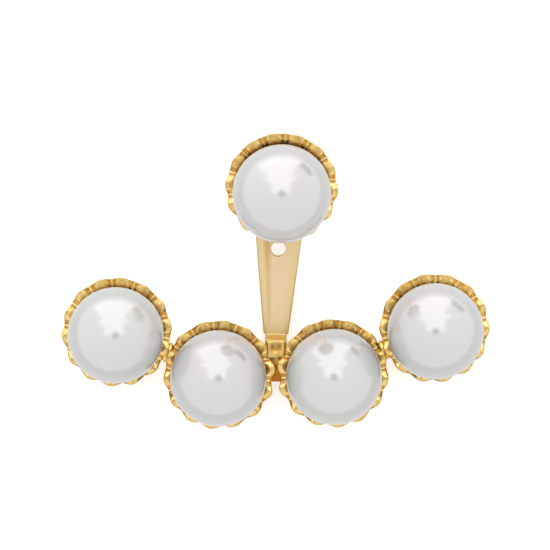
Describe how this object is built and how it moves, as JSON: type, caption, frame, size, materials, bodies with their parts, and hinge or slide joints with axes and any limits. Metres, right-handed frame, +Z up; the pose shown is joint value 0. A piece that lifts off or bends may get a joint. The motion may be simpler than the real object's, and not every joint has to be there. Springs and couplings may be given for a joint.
{
  "type": "ear jacket earring",
  "caption": "Ear jacket earring: a pearl stud whose post carries a tapering pierced strap with a curved row of pearls in fluted metal cups.",
  "frame": {"origin": "on the surface that the earring lies on, under the middle of its box", "axes": "+X along the row of pearls, to the right as seen from the front; +Y from the row towards the stud; +Z up, the way the pearls face"},
  "size_m": [0.0356, 0.0246, 0.0175],
  "materials": {
    "gold": "polished gold-coloured plating, satin on the strap",
    "pearl": "white pearl lustre",
    "clutch_gold": "satin gold-coloured plating"
  },
  "bodies": {
    "jacket": {"jacket_setting": "gold", "pearl_1": "pearl", "pearl_2": "pearl", "pearl_3": "pearl", "pearl_4": "pearl"},
    "stud": {"stud_setting": "gold", "stud_pearl": "pearl", "clutch": "clutch_gold"}
  },
  "joints": [
    {"name": "stud_swivel", "type": "hinge", "parent": "jacket", "child": "stud", "pos_m": [0.00063, 0.00995, 0.00407], "axis": [0, -0.3797, 0.9251], "continuous": true}
  ]
}
